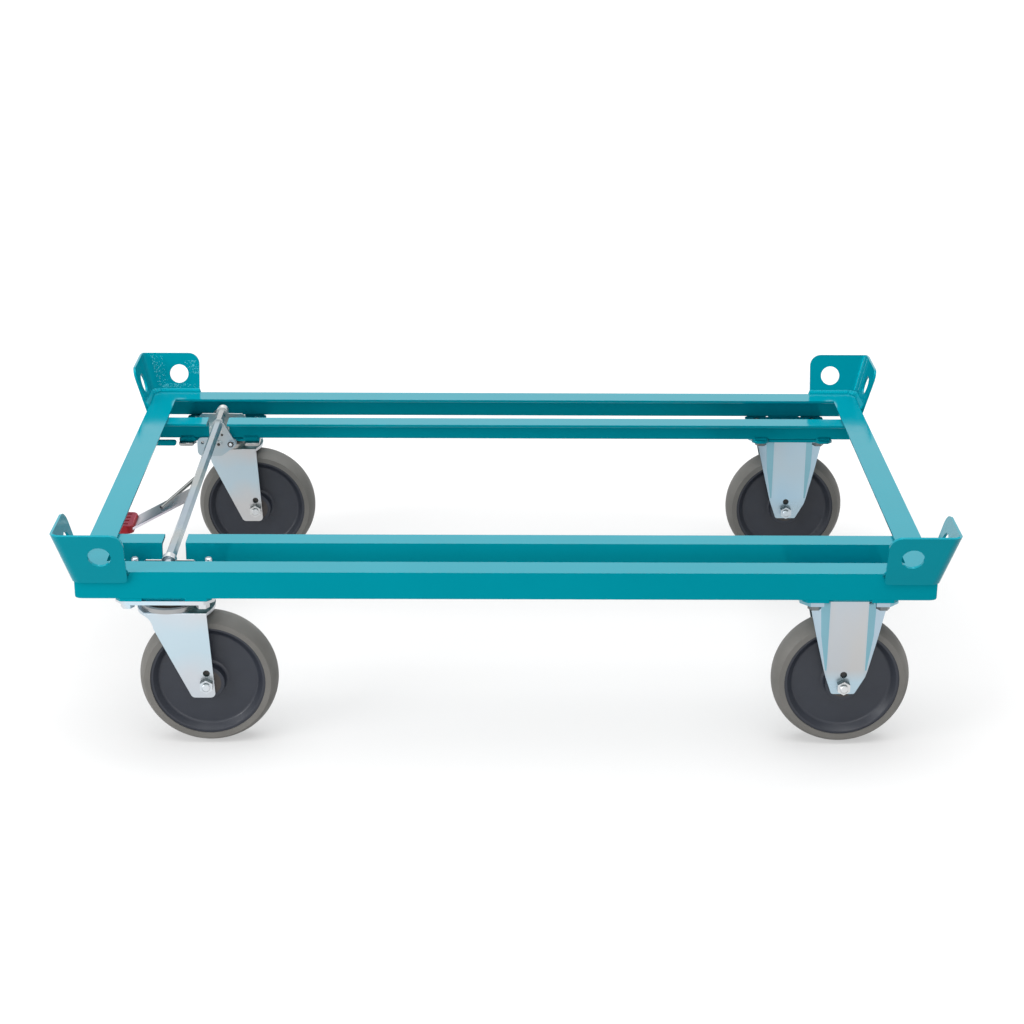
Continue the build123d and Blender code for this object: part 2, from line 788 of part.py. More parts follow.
# Lever just inside the rear inner rail, with a pin that runs in the stop plate
stop_outer = inner_face - rail_thickness
stop_inner = stop_outer - stop_thickness
lever_outer = stop_inner - lever_gap
lever_low = rod_z - lever_reach
lever_ends = [(swivel_x, lever_low), (swivel_x + lever_spread, lever_low)]
with BuildPart() as lever:
    with BuildSketch(Plane.XZ.offset(lever_outer - lever_thickness)):
        with Locations(rod_at):
            Circle(lever_eye)
        with Locations(*lever_ends):
            Circle(lever_round)
        make_hull()
        with Locations(rod_at):
            RegularPolygon(rod_flats / 2, 6, major_radius=False, rotation=rod_turn, mode=Mode.SUBTRACT)
    extrude(amount=lever_thickness)
    with BuildSketch(Plane.XZ.offset(lever_outer)):
        with Locations(lever_ends[0]):
            Circle(pin_radius)
    extrude(amount=stop_thickness)
    with BuildSketch(Plane.XZ.offset(lever_outer - lever_thickness - pin_head)):
        with Locations(*lever_ends):
            Circle(pin_radius + pin_rim)
    extrude(amount=pin_head)

save(opposite(lever.part), "brake_lever")

# Kidney-shaped stop plate on the inner edge of the rear left mounting plate
stop_lobes = [(swivel_x - stop_left, lever_low), (swivel_x + stop_right, lever_low)]
stop_feet = [(swivel_x - stop_left, lever_low - stop_drop), (swivel_x, lever_low - stop_drop)]
with BuildPart() as stop_plate:
    with BuildSketch(Plane.XZ.offset(stop_inner)):
        with Locations(*stop_lobes, *stop_feet):
            Circle(stop_round)
        make_hull()
        with Locations(stop_lobes[0]):
            Circle(stop_hole, mode=Mode.SUBTRACT)
        with BuildLine(mode=Mode.PRIVATE) as slot_path:
            CenterArc(rod_at, lever_reach, -90 - slot_margin, brake_angle + 2 * slot_margin)
        SlotArc(slot_path.edges()[0], 2 * (pin_radius + slot_play), mode=Mode.SUBTRACT)
    extrude(amount=stop_thickness)

save(opposite(stop_plate.part), "stop_plate")

# Pedal arm: a flat bar that slopes down from the brake bar and ends level inside the pad
slope = math.radians(pedal_slope)
arm_plane = Plane(
    (swivel_x, arm_middle, rod_z),
    x_dir=(-math.cos(slope), 0, -math.sin(slope)),
    z_dir=(-math.sin(slope), 0, math.cos(slope)),
)
arm_start = arm_plane.from_local_coords((rod_flats / 2, 0, 0))
bend_at = arm_plane.from_local_coords((arm_bend, 0, 0))
with BuildPart() as pedal_arm:
    with BuildSketch(Plane.XZ.offset(-arm_middle - arm_width / 2)):
        with BuildLine():
            FilletPolyline(
                (arm_start.X, arm_start.Z),
                (bend_at.X, bend_at.Z),
                (bend_at.X - arm_tip, bend_at.Z),
                radius=arm_round,
            )
        trace(line_width=arm_thickness)
    extrude(amount=arm_width)

pad_plane = Plane((bend_at.X + pad_lead - pad_length / 2, arm_middle, bend_at.Z - pad_sink))
with BuildPart() as pedal_pad:
    with BuildSketch(pad_plane):
        RectangleRounded(pad_length, pad_width, pad_corner)
    extrude(amount=pad_thickness)
    fillet(pedal_pad.faces().sort_by(Axis.Z)[-1].edges(), pad_edge)
    with BuildSketch(pad_plane.offset(pad_thickness - groove_depth)):
        with GridLocations(groove_length, groove_pitch, 1, 4):
            Rectangle(groove_length, groove_width)
    extrude(amount=pad_thickness, mode=Mode.SUBTRACT)
    add(pedal_arm.part, mode=Mode.SUBTRACT)

save(pedal_arm.part, "pedal_arm")
save(pedal_pad.part, "pedal_pad")

# Round brace from the middle of the arm to the flank of the bar
brace_foot = arm_plane.from_local_coords((brace_along, 0, arm_thickness / 2))
brace_head = Vector(swivel_x - brace_side, brace_head_y, rod_z)
with BuildPart() as pedal_brace:
    with BuildLine() as brace_path:
        Line(brace_foot, brace_head)
    with BuildSketch(Plane(brace_foot, z_dir=brace_head - brace_foot)):
        Circle(brace_radius)
    sweep(path=brace_path.line)
    add(brake_rod.part, mode=Mode.SUBTRACT)
    add(pedal_arm.part, mode=Mode.SUBTRACT)

save(pedal_brace.part, "pedal_brace")

# Lug with a rounded end on the left end rail
lug_low = rail_bottom - lug_below
lug_end = lug_length - lug_foot
with BuildPart() as lug:
    with BuildSketch(Plane.XZ.offset(lug_set_back - stop_outer)):
        with BuildLine():
            Polyline(
                (-frame_inside, lug_low + lug_rise),
                (-frame_inside, lug_low),
                (-frame_inside + lug_end, lug_low),
                (-frame_inside + lug_end, lug_low + lug_height),
                (-frame_inside + lug_foot, lug_low + lug_height),
                (-frame_inside + lug_foot, lug_low + lug_rise),
                close=True,
            )
        make_face()
        with Locations((-frame_inside + lug_end, lug_low + lug_height / 2)):
            Circle(lug_height / 2)
    extrude(amount=lug_thickness)

save(lug.part, "tie_lug")
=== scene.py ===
import json
import math
import random

import bmesh
import bpy
from mathutils import Matrix, Vector


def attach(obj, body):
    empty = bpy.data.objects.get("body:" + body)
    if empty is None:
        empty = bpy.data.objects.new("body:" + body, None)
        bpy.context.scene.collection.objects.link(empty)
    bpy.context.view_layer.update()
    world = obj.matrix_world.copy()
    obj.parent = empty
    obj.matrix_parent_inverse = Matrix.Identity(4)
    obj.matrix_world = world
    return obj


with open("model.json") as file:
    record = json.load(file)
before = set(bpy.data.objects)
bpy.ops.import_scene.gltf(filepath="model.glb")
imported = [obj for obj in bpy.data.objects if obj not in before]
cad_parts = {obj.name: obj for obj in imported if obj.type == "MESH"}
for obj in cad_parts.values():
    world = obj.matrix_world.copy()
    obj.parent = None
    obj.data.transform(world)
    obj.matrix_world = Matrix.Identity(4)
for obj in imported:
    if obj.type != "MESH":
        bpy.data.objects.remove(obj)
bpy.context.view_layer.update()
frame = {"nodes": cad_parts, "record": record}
nodes = frame["nodes"]
scene = bpy.context.scene
scene.view_settings.view_transform = "Standard"

# Lengths are in metres unless a comment says otherwise
MM_PER_METRE = 1000.0
FULL_TURN = 2.0 * math.pi
QUARTER_TURN = math.pi / 2.0
SIDES = (-1, 1)
CORNERS = [(i, j) for i in SIDES for j in SIDES]

# Camera, solved from the frame's corners in the photograph
FOCAL_PIXELS = 2248.24
IMAGE_PIXELS = 1024
SENSOR_MM = 36.0
CAMERA_PLACE = (-0.01473, -3.30618, 1.49409)
CAMERA_PITCH = 0.3683
CAMERA_YAW = math.radians(0.433)
CAMERA_ROLL = math.radians(0.318)


def make_camera():
    level, drop = math.cos(CAMERA_PITCH), math.sin(CAMERA_PITCH)
    ahead, aside = math.cos(CAMERA_YAW), math.sin(CAMERA_YAW)
    forward = Vector((aside * level, ahead * level, -drop))
    right = Vector((ahead, -aside, 0.0))
    up = right.cross(forward)
    turned_right = math.cos(CAMERA_ROLL) * right + math.sin(CAMERA_ROLL) * up
    turned_up = math.cos(CAMERA_ROLL) * up - math.sin(CAMERA_ROLL) * right
    data = bpy.data.cameras.new("camera")
    data.sensor_width = SENSOR_MM
    data.lens = FOCAL_PIXELS * SENSOR_MM / IMAGE_PIXELS
    camera = bpy.data.objects.new("camera", data)
    rotation = Matrix((turned_right, turned_up, -forward)).transposed().to_4x4()
    camera.matrix_world = Matrix.Translation(CAMERA_PLACE) @ rotation
    scene.collection.objects.link(camera)
    scene.camera = camera


def opaque(red, green, blue):
    return (red, green, blue, 1.0)


# A node tree, with helpers that add nodes and link or fill their inputs
class NodeTree:
    def __init__(self, owner, empty=False):
        owner.use_nodes = True
        self.tree = owner.node_tree
        if empty:
            self.tree.nodes.clear()

    def add(self, kind, inputs=None, **settings):
        node = self.tree.nodes.new(kind)
        for key, value in settings.items():
            setattr(node, key, value)
        self.fill(node, inputs or {})
        return node

    def fill(self, node, inputs):
        for key, value in inputs.items():
            if isinstance(value, bpy.types.NodeSocket):
                self.tree.links.new(value, node.inputs[key])
            else:
                node.inputs[key].default_value = value

    def maths(self, operation, *values):
        node = self.add("ShaderNodeMath", dict(enumerate(values)), operation=operation)
        return node.outputs[0]

    def map_range(self, value, source, target=(0.0, 1.0)):
        inputs = {"Value": value}
        inputs["From Min"], inputs["From Max"] = source
        inputs["To Min"], inputs["To Max"] = target
        return self.add("ShaderNodeMapRange", inputs).outputs["Result"]


# Noise lies mostly between these values, over which tones and roughness are spread
NOISE_SPAN = (0.3, 0.7)
RAMP_MIDDLE = 0.5

# The colour sockets of a Mix node
MIX_FIRST = 6
MIX_SECOND = 7
MIX_RESULT = 2


# One procedural finish: a Principled shader with tones and roughness in patches and, where the
# look names them, a grain and a second tone
class Finish(NodeTree):
    def __init__(self, look):
        self.material = bpy.data.materials.new(look["name"])
        super().__init__(self.material)
        self.shader = self.tree.nodes["Principled BSDF"]
        self.coordinates = self.add("ShaderNodeTexCoord")
        self.fill(self.shader, look["shader"])
        patches = self.noise(**look["patches"])
        self.tone = self.ramp(patches, look.get("steps", NOISE_SPAN), look["tones"])
        roughness = self.map_range(self.noise(**look["mottle"]), NOISE_SPAN, look["roughness"])
        self.fill(self.shader, {"Base Color": self.tone, "Roughness": roughness})
        if "grain" in look:
            relief = {"Height": self.noise(**look["grain"]), **look["relief"]}
            bump = self.add("ShaderNodeBump", relief)
            self.fill(self.shader, {"Normal": bump.outputs["Normal"]})
        if "tint" in look:
            tint = look["tint"]
            self.tint(self.across(tint["axis"], tint["span"], tint["source"]), tint["tone"])

    def noise(self, scale, detail, stretch=None):
        place = self.coordinates.outputs["Object"]
        if stretch:
            mapping = self.add("ShaderNodeMapping", {"Vector": place, "Scale": stretch})
            place = mapping.outputs["Vector"]
        inputs = {"Vector": place, "Scale": scale, "Detail": detail}
        return self.add("ShaderNodeTexNoise", inputs).outputs["Fac"]

    def ramp(self, value, steps, tones):
        node = self.add("ShaderNodeValToRGB", {"Fac": value})
        elements = node.color_ramp.elements
        while len(elements) < len(tones):
            elements.new(RAMP_MIDDLE)
        for element, step, tone in zip(elements, steps, tones):
            element.position = step
            element.color = opaque(*tone)
        return node.outputs["Color"]

    def axis(self, letter, source="Object"):
        inputs = {"Vector": self.coordinates.outputs[source]}
        return self.add("ShaderNodeSeparateXYZ", inputs).outputs[letter]

    def across(self, letter, span, source="Object"):
        return self.map_range(self.axis(letter, source), span)

    def tint(self, amount, tone):
        node = self.add("ShaderNodeMix", data_type="RGBA")
        self.fill(node, {"Factor": amount, MIX_FIRST: self.tone, MIX_SECOND: opaque(*tone)})
        self.tone = node.outputs[MIX_RESULT]
        self.fill(self.shader, {"Base Color": self.tone})


# Looks of the slots: shader inputs, tones over a noise of patches, a range of roughness over a
# noise of mottle, and a grain with its relief
STEEL = {
    "patches": {"scale": 90.0, "detail": 4.0},
    "mottle": {"scale": 120.0, "detail": 3.0},
    "grain": {"scale": 500.0, "detail": 2.0, "stretch": (1.0, 0.1, 1.0)},
    "relief": {"Strength": 0.1, "Distance": 0.0003},
}
LOOKS = {
    "paint": {
        "name": "teal_powder_coat",
        "shader": {"IOR": 1.5, "Specular Tint": opaque(0.0, 0.7, 0.85)},
        "tones": ((0.0, 0.268, 0.344), (0.0, 0.282, 0.36)),
        "patches": {"scale": 7.0, "detail": 3.0},
        "roughness": (0.08, 0.15),
        "mottle": {"scale": 30.0, "detail": 4.0},
        "grain": {"scale": 260.0, "detail": 1.0},
        "relief": {"Strength": 0.025, "Distance": 0.0004},
    },
    "tread": {
        "name": "grey_rubber_tread",
        "shader": {"IOR": 1.45},
        "tones": ((0.168, 0.163, 0.152), (0.203, 0.196, 0.183)),
        "patches": {"scale": 22.0, "detail": 5.0},
        "roughness": (0.5, 0.68),
        "mottle": {"scale": 45.0, "detail": 4.0},
        "grain": {"scale": 700.0, "detail": 3.0},
        "relief": {"Strength": 0.18, "Distance": 0.0005},
    },
    "rim": {
        "name": "dark_nylon_rim",
        "shader": {"IOR": 1.5},
        "tones": ((0.0165, 0.0205, 0.0315), (0.0225, 0.0275, 0.0405)),
        "patches": {"scale": 26.0, "detail": 4.0},
        "roughness": (0.38, 0.52),
        "mottle": {"scale": 50.0, "detail": 3.0},
        "grain": {"scale": 900.0, "detail": 2.0},
        "relief": {"Strength": 0.12, "Distance": 0.0004},
    },
    "bearing": {
        **STEEL,
        "name": "bearing_seal",
        "shader": {"Metallic": 0.0},
        "tones": ((0.035, 0.028, 0.025), (0.055, 0.046, 0.042)),
        "roughness": (0.35, 0.5),
    },
    "race": {
        "name": "blackened_race",
        "shader": {"IOR": 1.5},
        "tones": ((0.022, 0.017, 0.013), (0.05, 0.036, 0.026)),
        "patches": {"scale": 60.0, "detail": 4.0},
        "roughness": (0.4, 0.6),
        "mottle": {"scale": 90.0, "detail": 3.0},
    },
    # The pad has a painted sheen, paler on what faces up, and is deep red round its rim
    "pad": {
        "name": "red_rubber_pad",
        "shader": {"IOR": 1.42},
        "tones": ((0.36, 0.004, 0.011), (0.41, 0.007, 0.016)),
        "patches": {"scale": 60.0, "detail": 4.0},
        "roughness": (0.35, 0.5),
        "mottle": {"scale": 70.0, "detail": 3.0},
        "grain": {"scale": 800.0, "detail": 3.0},
        "relief": {"Strength": 0.15, "Distance": 0.0004},
        "tint": {
            "source": "Normal", "axis": "Z", "span": (0.75, 0.97),
            "tone": (0.70, 0.115, 0.155),
        },
    },
    "shoe": {
        **STEEL,
        "name": "dull_steel",
        "shader": {"Metallic": 1.0},
        "tones": ((0.24, 0.24, 0.26), (0.33, 0.33, 0.35)),
        "roughness": (0.4, 0.6),
    },
}

# Paler paint over the drops of weld spatter and on the bend creases, a painted highlight
PAINTED_HIGHLIGHT_PAINT = {
    "name": "spatter_paint_painted_highlight",
    "shader": {"IOR": 1.5, "Specular Tint": opaque(0.5, 0.9, 1.0)},
    "steps": (0.35, 0.65),
    "tones": ((0.01, 0.38, 0.46), (0.13, 0.60, 0.68)),
    "patches": {"scale": 240.0, "detail": 2.0},
    "roughness": (0.1, 0.25),
    "mottle": {"scale": 150.0, "detail": 2.0},
}

# Zinc plate: three film tones in soft patches and faint upright streaks
ZINC = {
    "shader": {"Metallic": 1.0},
    "steps": (0.36, 0.5, 0.64),
    "patches": {"scale": 11.0, "detail": 2.0, "stretch": (1.0, 1.0, 0.45)},
    "roughness": (0.26, 0.36),
    "mottle": {"scale": 24.0, "detail": 2.0, "stretch": (1.0, 1.0, 0.3)},
    "grain": {"scale": 90.0, "detail": 1.0, "stretch": (1.0, 1.0, 0.06)},
    "relief": {"Strength": 0.012, "Distance": 0.0004},
}
ROD_X = -0.4815
PAD_EDGE_X = -0.565
BRIGHT_TONES = ((0.50, 0.63, 0.71), (0.57, 0.60, 0.63), (0.58, 0.575, 0.56))
TOPPED_TONES = ((0.56, 0.63, 0.68), (0.60, 0.63, 0.66), (0.61, 0.62, 0.62))
ZINC_PLATES = {
    "bright_zinc_plate": {"tones": BRIGHT_TONES},
    "raked_zinc_plate": {
        "tones": ((0.521, 0.567, 0.614), (0.539, 0.558, 0.586), (0.544, 0.544, 0.549)),
    },
    "grey_zinc_plate": {
        "tones": ((0.36, 0.43, 0.50), (0.40, 0.475, 0.52), (0.43, 0.46, 0.46)),
    },
    "dull_zinc_plate": {
        "tones": ((0.33, 0.335, 0.34), (0.36, 0.36, 0.355), (0.38, 0.375, 0.36)),
    },
    "blue_zinc_plate": {
        "tones": ((0.34, 0.45, 0.52), (0.37, 0.47, 0.525), (0.40, 0.47, 0.50)),
    },
    "dull_zinc_wire": {
        "tones": ((0.10, 0.116, 0.122), (0.115, 0.128, 0.132), (0.125, 0.132, 0.13)),
    },
    "pressed_zinc_front": {
        "tones": ((0.385, 0.465, 0.530), (0.430, 0.458, 0.487), (0.447, 0.450, 0.453)),
    },
    "pressed_zinc_rear": {
        "tones": ((0.390, 0.560, 0.680), (0.430, 0.575, 0.670), (0.460, 0.565, 0.630)),
    },
    # The bolts of the fixed casters carry painted shade, darker than those of the swivel casters
    "zinc_bolts_painted_shade": {
        "tones": BRIGHT_TONES,
        "tint": {
            "source": "Object", "axis": "X", "span": (-0.1, 0.1),
            "tone": (0.15, 0.165, 0.17),
        },
    },
    # Two plates have painted light on what faces up: a dark painted reflection on the axle nuts
    # and bolts, and a bright painted highlight on the rod brackets
    "zinc_plate_painted_dark_tops": {
        "tones": TOPPED_TONES,
        "tint": {
            "source": "Normal", "axis": "Z", "span": (0.55, 0.75),
            "tone": (0.05, 0.072, 0.075),
        },
    },
    "zinc_plate_painted_bright_tops": {
        "tones": TOPPED_TONES,
        "tint": {
            "source": "Normal", "axis": "Z", "span": (0.96, 0.998),
            "tone": (0.90, 0.93, 0.91),
        },
    },
    # The pedal arm has painted shade, darker from the pad towards the bar
    "zinc_plate_painted_shade_to_bar": {
        "tones": ((0.60, 0.57, 0.67), (0.64, 0.58, 0.66), (0.60, 0.60, 0.64)),
        "tint": {
            "source": "Object", "axis": "X", "span": (PAD_EDGE_X, ROD_X),
            "tone": (0.24, 0.245, 0.25),
        },
    },
}


def zinc_plate(name):
    return Finish({**ZINC, **ZINC_PLATES[name], "name": name})


# The swivel forks have a bluer band half way down, and their crowns carry a painted reflection
# of the teal paint above them
BAND_Z = 0.165
BAND_FADE = (0.05, 0.015)
BAND_NOISE = {"scale": 14.0, "detail": 2.0}
BAND_RIPPLE = (-0.012, 0.012)
BAND_TONE = (0.465, 0.575, 0.64)
CROWN_X = (-0.4595, -0.4495)
CROWN_FACING = (0.4, 0.75)
CROWN_PAINTED_REFLECTION = (0.085, 0.21, 0.225)


def raked_plate():
    zinc = zinc_plate("raked_zinc_plate")
    ripple = zinc.map_range(zinc.noise(**BAND_NOISE), NOISE_SPAN, BAND_RIPPLE)
    height = zinc.maths("ADD", zinc.maths("SUBTRACT", zinc.axis("Z"), BAND_Z), ripple)
    zinc.tint(zinc.map_range(zinc.maths("ABSOLUTE", height), BAND_FADE), BAND_TONE)
    facing = zinc.across("Z", CROWN_FACING, "Normal")
    zinc.tint(zinc.maths("MULTIPLY", facing, zinc.across("X", CROWN_X)), CROWN_PAINTED_REFLECTION)
    return zinc


# The pressed forks change tone at the foot and towards their flanges, and their slanted facets
# carry a dark teal painted reflection of the frame's paint
FORK_X = 0.487
FOOT_Z = (0.125, 0.105)
FOOT_TONE = (0.405, 0.525, 0.60)
FLANGE_SPAN = (0.024, 0.036)
FRONT_FLANGE_TONE = (0.335, 0.425, 0.495)
REAR_FLANGE_TONE = (0.38, 0.51, 0.60)
FACET_FACING = (0.06, 0.16)
FACET_PAINTED_REFLECTION = (0.195, 0.375, 0.445)


def pressed_plate(name, flange_tone):
    zinc = zinc_plate(name)
    zinc.tint(zinc.across("Z", FOOT_Z), FOOT_TONE)
    aside = zinc.maths("ABSOLUTE", zinc.maths("SUBTRACT", zinc.axis("X"), FORK_X))
    zinc.tint(zinc.map_range(aside, FLANGE_SPAN), flange_tone)
    facing = zinc.maths("ABSOLUTE", zinc.axis("X", "Normal"))
    zinc.tint(zinc.map_range(facing, FACET_FACING), FACET_PAINTED_REFLECTION)
    return zinc


finishes = {slot: Finish(look) for slot, look in LOOKS.items()}
finishes["zinc"] = zinc_plate("bright_zinc_plate")
# Paler paint with a painted highlight, for the weld spatter and the bend creases
painted_highlight_paint = Finish(PAINTED_HIGHLIGHT_PAINT)
raked_zinc = raked_plate()
grey_zinc = zinc_plate("grey_zinc_plate")
dull_zinc = zinc_plate("dull_zinc_plate")
# The caster bolts carry painted shade on the fixed casters
bolt_zinc_painted_shade = zinc_plate("zinc_bolts_painted_shade")
# The axle nuts and bolts carry a dark painted reflection on what faces up
axle_zinc_painted_dark_tops = zinc_plate("zinc_plate_painted_dark_tops")
special = {
    "caster_bolts": bolt_zinc_painted_shade,
    "caster_washers": bolt_zinc_painted_shade,
    "fixed_fork_front": pressed_plate("pressed_zinc_front", FRONT_FLANGE_TONE),
    "fixed_fork_rear": pressed_plate("pressed_zinc_rear", REAR_FLANGE_TONE),
    "seal_ring_front": dull_zinc,
    "seal_ring_rear": dull_zinc,
    "swivel_fork_front": raked_zinc,
    "swivel_fork_rear": raked_zinc,
    "brake_rod": grey_zinc,
    "brake_lever": grey_zinc,
    "pedal_brace": zinc_plate("dull_zinc_wire"),
    "stop_plate": zinc_plate("blue_zinc_plate"),
    # The pedal arm's zinc carries painted shade towards the bar
    "pedal_arm": zinc_plate("zinc_plate_painted_shade_to_bar"),
    # The rod brackets' zinc has a painted highlight on what faces up
    "rod_brackets": zinc_plate("zinc_plate_painted_bright_tops"),
}

for subpart in frame["record"]["subparts"]:
    name = subpart["node"]
    if "axle_nut" in name or "axle_bolt" in name:
        finish = axle_zinc_painted_dark_tops
    else:
        finish = special.get(name, finishes[subpart["material_slot"]])
    mesh = nodes[name].data
    mesh.materials.clear()
    mesh.materials.append(finish.material)


# Rounded edges on what is cut from plate and angle
EDGE_JOIN = 0.00001
EDGE_WIDTH = 0.0009
EDGE_SEGMENTS = 2
EDGE_ANGLE = math.radians(50.0)
EDGED = (
    "rail", "corner_bracket", "mounting_plates", "tie_lug", "fork",
    "stop_plate", "brake_lever", "pedal_arm", "rod_brackets",
)


def round_edges(piece):
    join = piece.modifiers.new("join", "WELD")
    join.merge_threshold = EDGE_JOIN
    edge = piece.modifiers.new("edge", "BEVEL")
    edge.width = EDGE_WIDTH
    edge.segments = EDGE_SEGMENTS
    edge.limit_method = "ANGLE"
    edge.angle_limit = EDGE_ANGLE
    edge.face_strength_mode = "FSTR_ALL"
    shading = piece.modifiers.new("shading", "WEIGHTED_NORMAL")
    shading.use_face_influence = True
    shading.keep_sharp = True


for name, node in nodes.items():
    if any(word in name for word in EDGED):
        round_edges(node)


# Pieces made here are strips of closed rings, smooth along their sides and capped at both ends
SIDE_CORNERS = 4


def make_piece(name, body, slot, strips, finish=None):
    shape = bmesh.new()
    for rings in strips:
        rows = [[shape.verts.new(point) for point in ring] for ring in rings]
        for first, second in zip(rows, rows[1:]):
            for i in range(len(first)):
                j = (i + 1) % len(first)
                shape.faces.new((first[i], first[j], second[j], second[i]))
        shape.faces.new(rows[0])
        shape.faces.new(rows[-1])
    bmesh.ops.recalc_face_normals(shape, faces=shape.faces[:])
    for face in shape.faces:
        face.smooth = len(face.verts) == SIDE_CORNERS
    mesh = bpy.data.meshes.new(name)
    shape.to_mesh(mesh)
    shape.free()
    mesh.materials.append((finish or finishes[slot]).material)
    piece = bpy.data.objects.new(name, mesh)
    scene.collection.objects.link(piece)
    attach(piece, body)
    return piece


def circle_angles(sides):
    return [FULL_TURN * k / sides for k in range(sides)]


# Weld beads: a bulging strip with ripples between two faces, thinner at both ends
BEAD_STEP = 0.0007
BEAD_PITCH = 0.0035
BEAD_RIPPLE = 0.35
BEAD_BULGE = 0.16
BEAD_LAG = 0.3
BEAD_POINTS = 6
BEAD_TAPER = 0.004
BEAD_LEAST = 0.3
BEAD_SINK = 0.1


def bead_ring(corner, first, second, along):
    ring = [corner - BEAD_SINK * (first + second)]
    out = (first + second).normalized() * BEAD_BULGE * (first - second).length
    for k in range(BEAD_POINTS + 1):
        t = k / BEAD_POINTS
        arch = math.sin(math.pi * t)
        phase = FULL_TURN * (along / BEAD_PITCH - BEAD_LAG * arch)
        ripple = 1.0 + BEAD_RIPPLE * math.cos(phase)
        ring.append(corner + first.lerp(second, t) + out * arch * ripple)
    return ring


def bead(sections):
    reach = [0.0]
    for before, after in zip(sections, sections[1:]):
        reach.append(reach[-1] + (after[0] - before[0]).length)
    rings = []
    for (corner, first, second), along in zip(sections, reach):
        grow = min(1.0, BEAD_LEAST + min(along, reach[-1] - along) / BEAD_TAPER)
        rings.append(bead_ring(corner, first * grow, second * grow, along))
    return rings


def straight_bead(start, end, first, second, size):
    start, end = Vector(start), Vector(end)
    count = round((end - start).length / BEAD_STEP)
    first, second = Vector(first) * size, Vector(second) * size
    return bead([(start.lerp(end, i / count), first, second) for i in range(count + 1)])


# The frame's corners and the flared brackets round them
FRAME_HALF = (0.605, 0.405)
FRAME_TOP = 0.283
BRACKET_LOW = 0.269
BRACKET_LEAN = math.radians(16.0)
FLARE = math.tan(BRACKET_LEAN)
BEND = 0.010


# A point by its distances inward from one of the frame's corners, and its height
def from_corner(corner, inset, level):
    x, y = [side * (half - away) for side, half, away in zip(corner, FRAME_HALF, inset)]
    return Vector((x, y, level))


# Beads in the gaps between the brackets and the top of the rails: along a leg, round the bend
# and back along the other leg
BRACKET_BEAD_END = 0.0785
BRACKET_BEAD_TOP = 0.289
BRACKET_BEAD_LOW = 0.2795
BRACKET_BEAD_INSIDE = 0.0008
BEND_STEPS = 24


def bracket_bead(corner):
    out = (BRACKET_BEAD_TOP - BRACKET_LOW) * FLARE
    low = (BRACKET_BEAD_LOW - BRACKET_LOW) * FLARE / 2.0
    turn = BEND - out
    slide = BEND - BRACKET_BEAD_INSIDE
    count = round((BRACKET_BEAD_END - turn) / BEAD_STEP)
    leg = []
    for i in range(count):
        a = BRACKET_BEAD_END + (turn - BRACKET_BEAD_END) * i / count
        leg.append(((max(a, BEND), BRACKET_BEAD_INSIDE), (a, -out), (a, -low)))
    bend = []
    for i in range(BEND_STEPS + 1):
        t = i / BEND_STEPS
        sine, cosine = math.sin(QUARTER_TURN * t), math.cos(QUARTER_TURN * t)
        inside = BEND - slide * t, BRACKET_BEAD_INSIDE + slide * t
        outside = turn - BEND * sine, turn - BEND * cosine
        under = turn - (turn + low) * sine, turn - (turn + low) * cosine
        bend.append((inside, outside, under))
    back = [tuple((b, a) for a, b in points) for points in reversed(leg)]
    sections = []
    for inside, outside, under in leg + bend + back:
        base = from_corner(corner, under, BRACKET_BEAD_LOW)
        first = from_corner(corner, inside, FRAME_TOP) - base
        second = from_corner(corner, outside, BRACKET_BEAD_TOP) - base
        sections.append((base, first, second))
    return bead(sections)


make_piece("bracket_welds", "frame", "paint", [bracket_bead(corner) for corner in CORNERS])


# Weld spatter: fine drops inside the rear left bracket, beside its bend, along its foot and by
# its edge, but not over its hole
SPATTER_SEED = 5
SPATTER_SIDES = 8
SPATTER_RADIUS = (0.0003, 0.0009)
SPATTER_PROFILE = ((1.0, -0.15), (0.95, 0.2), (0.6, 0.42), (0.2, 0.5))
SPATTER_PATCHES = (
    {"count": 150, "inset": (0.011, 0.034), "thickest": 0.012, "levels": (0.2915, 0.3430)},
    {"count": 110, "inset": (0.013, 0.084), "thickest": 0.020, "levels": (0.2896, 0.2960)},
    {"count": 110, "inset": (0.066, 0.0905), "thickest": 0.086, "levels": (0.3120, 0.3350)},
)
HOLE_X = -0.5645
HOLE_Z = 0.3125
HOLE_CLEAR = 0.0175


def spatter_drop(inset, level, radius):
    rise = level - BRACKET_LOW
    x = -FRAME_HALF[0] - rise * FLARE + inset
    if math.hypot(x - HOLE_X, level - HOLE_Z) < HOLE_CLEAR:
        return None
    base = Vector((x, FRAME_HALF[1] + rise * FLARE, level))
    across = Vector((1.0, 0.0, 0.0))
    upward = Vector((0.0, math.sin(BRACKET_LEAN), math.cos(BRACKET_LEAN)))
    normal = Vector((0.0, -math.cos(BRACKET_LEAN), math.sin(BRACKET_LEAN)))
    spokes = [across * math.cos(a) + upward * math.sin(a) for a in circle_angles(SPATTER_SIDES)]
    rings = []
    for wide, out in SPATTER_PROFILE:
        middle = base + normal * out * radius
        rings.append([middle + wide * radius * spoke for spoke in spokes])
    return rings


def spatter_drops():
    draw = random.Random(SPATTER_SEED)
    drops = []
    for patch in SPATTER_PATCHES:
        for _ in range(patch["count"]):
            inset = draw.triangular(*patch["inset"], patch["thickest"])
            level = draw.uniform(*patch["levels"])
            radius = draw.uniform(*SPATTER_RADIUS)
            drop = spatter_drop(inset, level, radius)
            if drop:
                drops.append(drop)
    return drops


# The drops take the paler paint as a painted highlight
make_piece("weld_spatter", "frame", "paint", spatter_drops(), painted_highlight_paint)


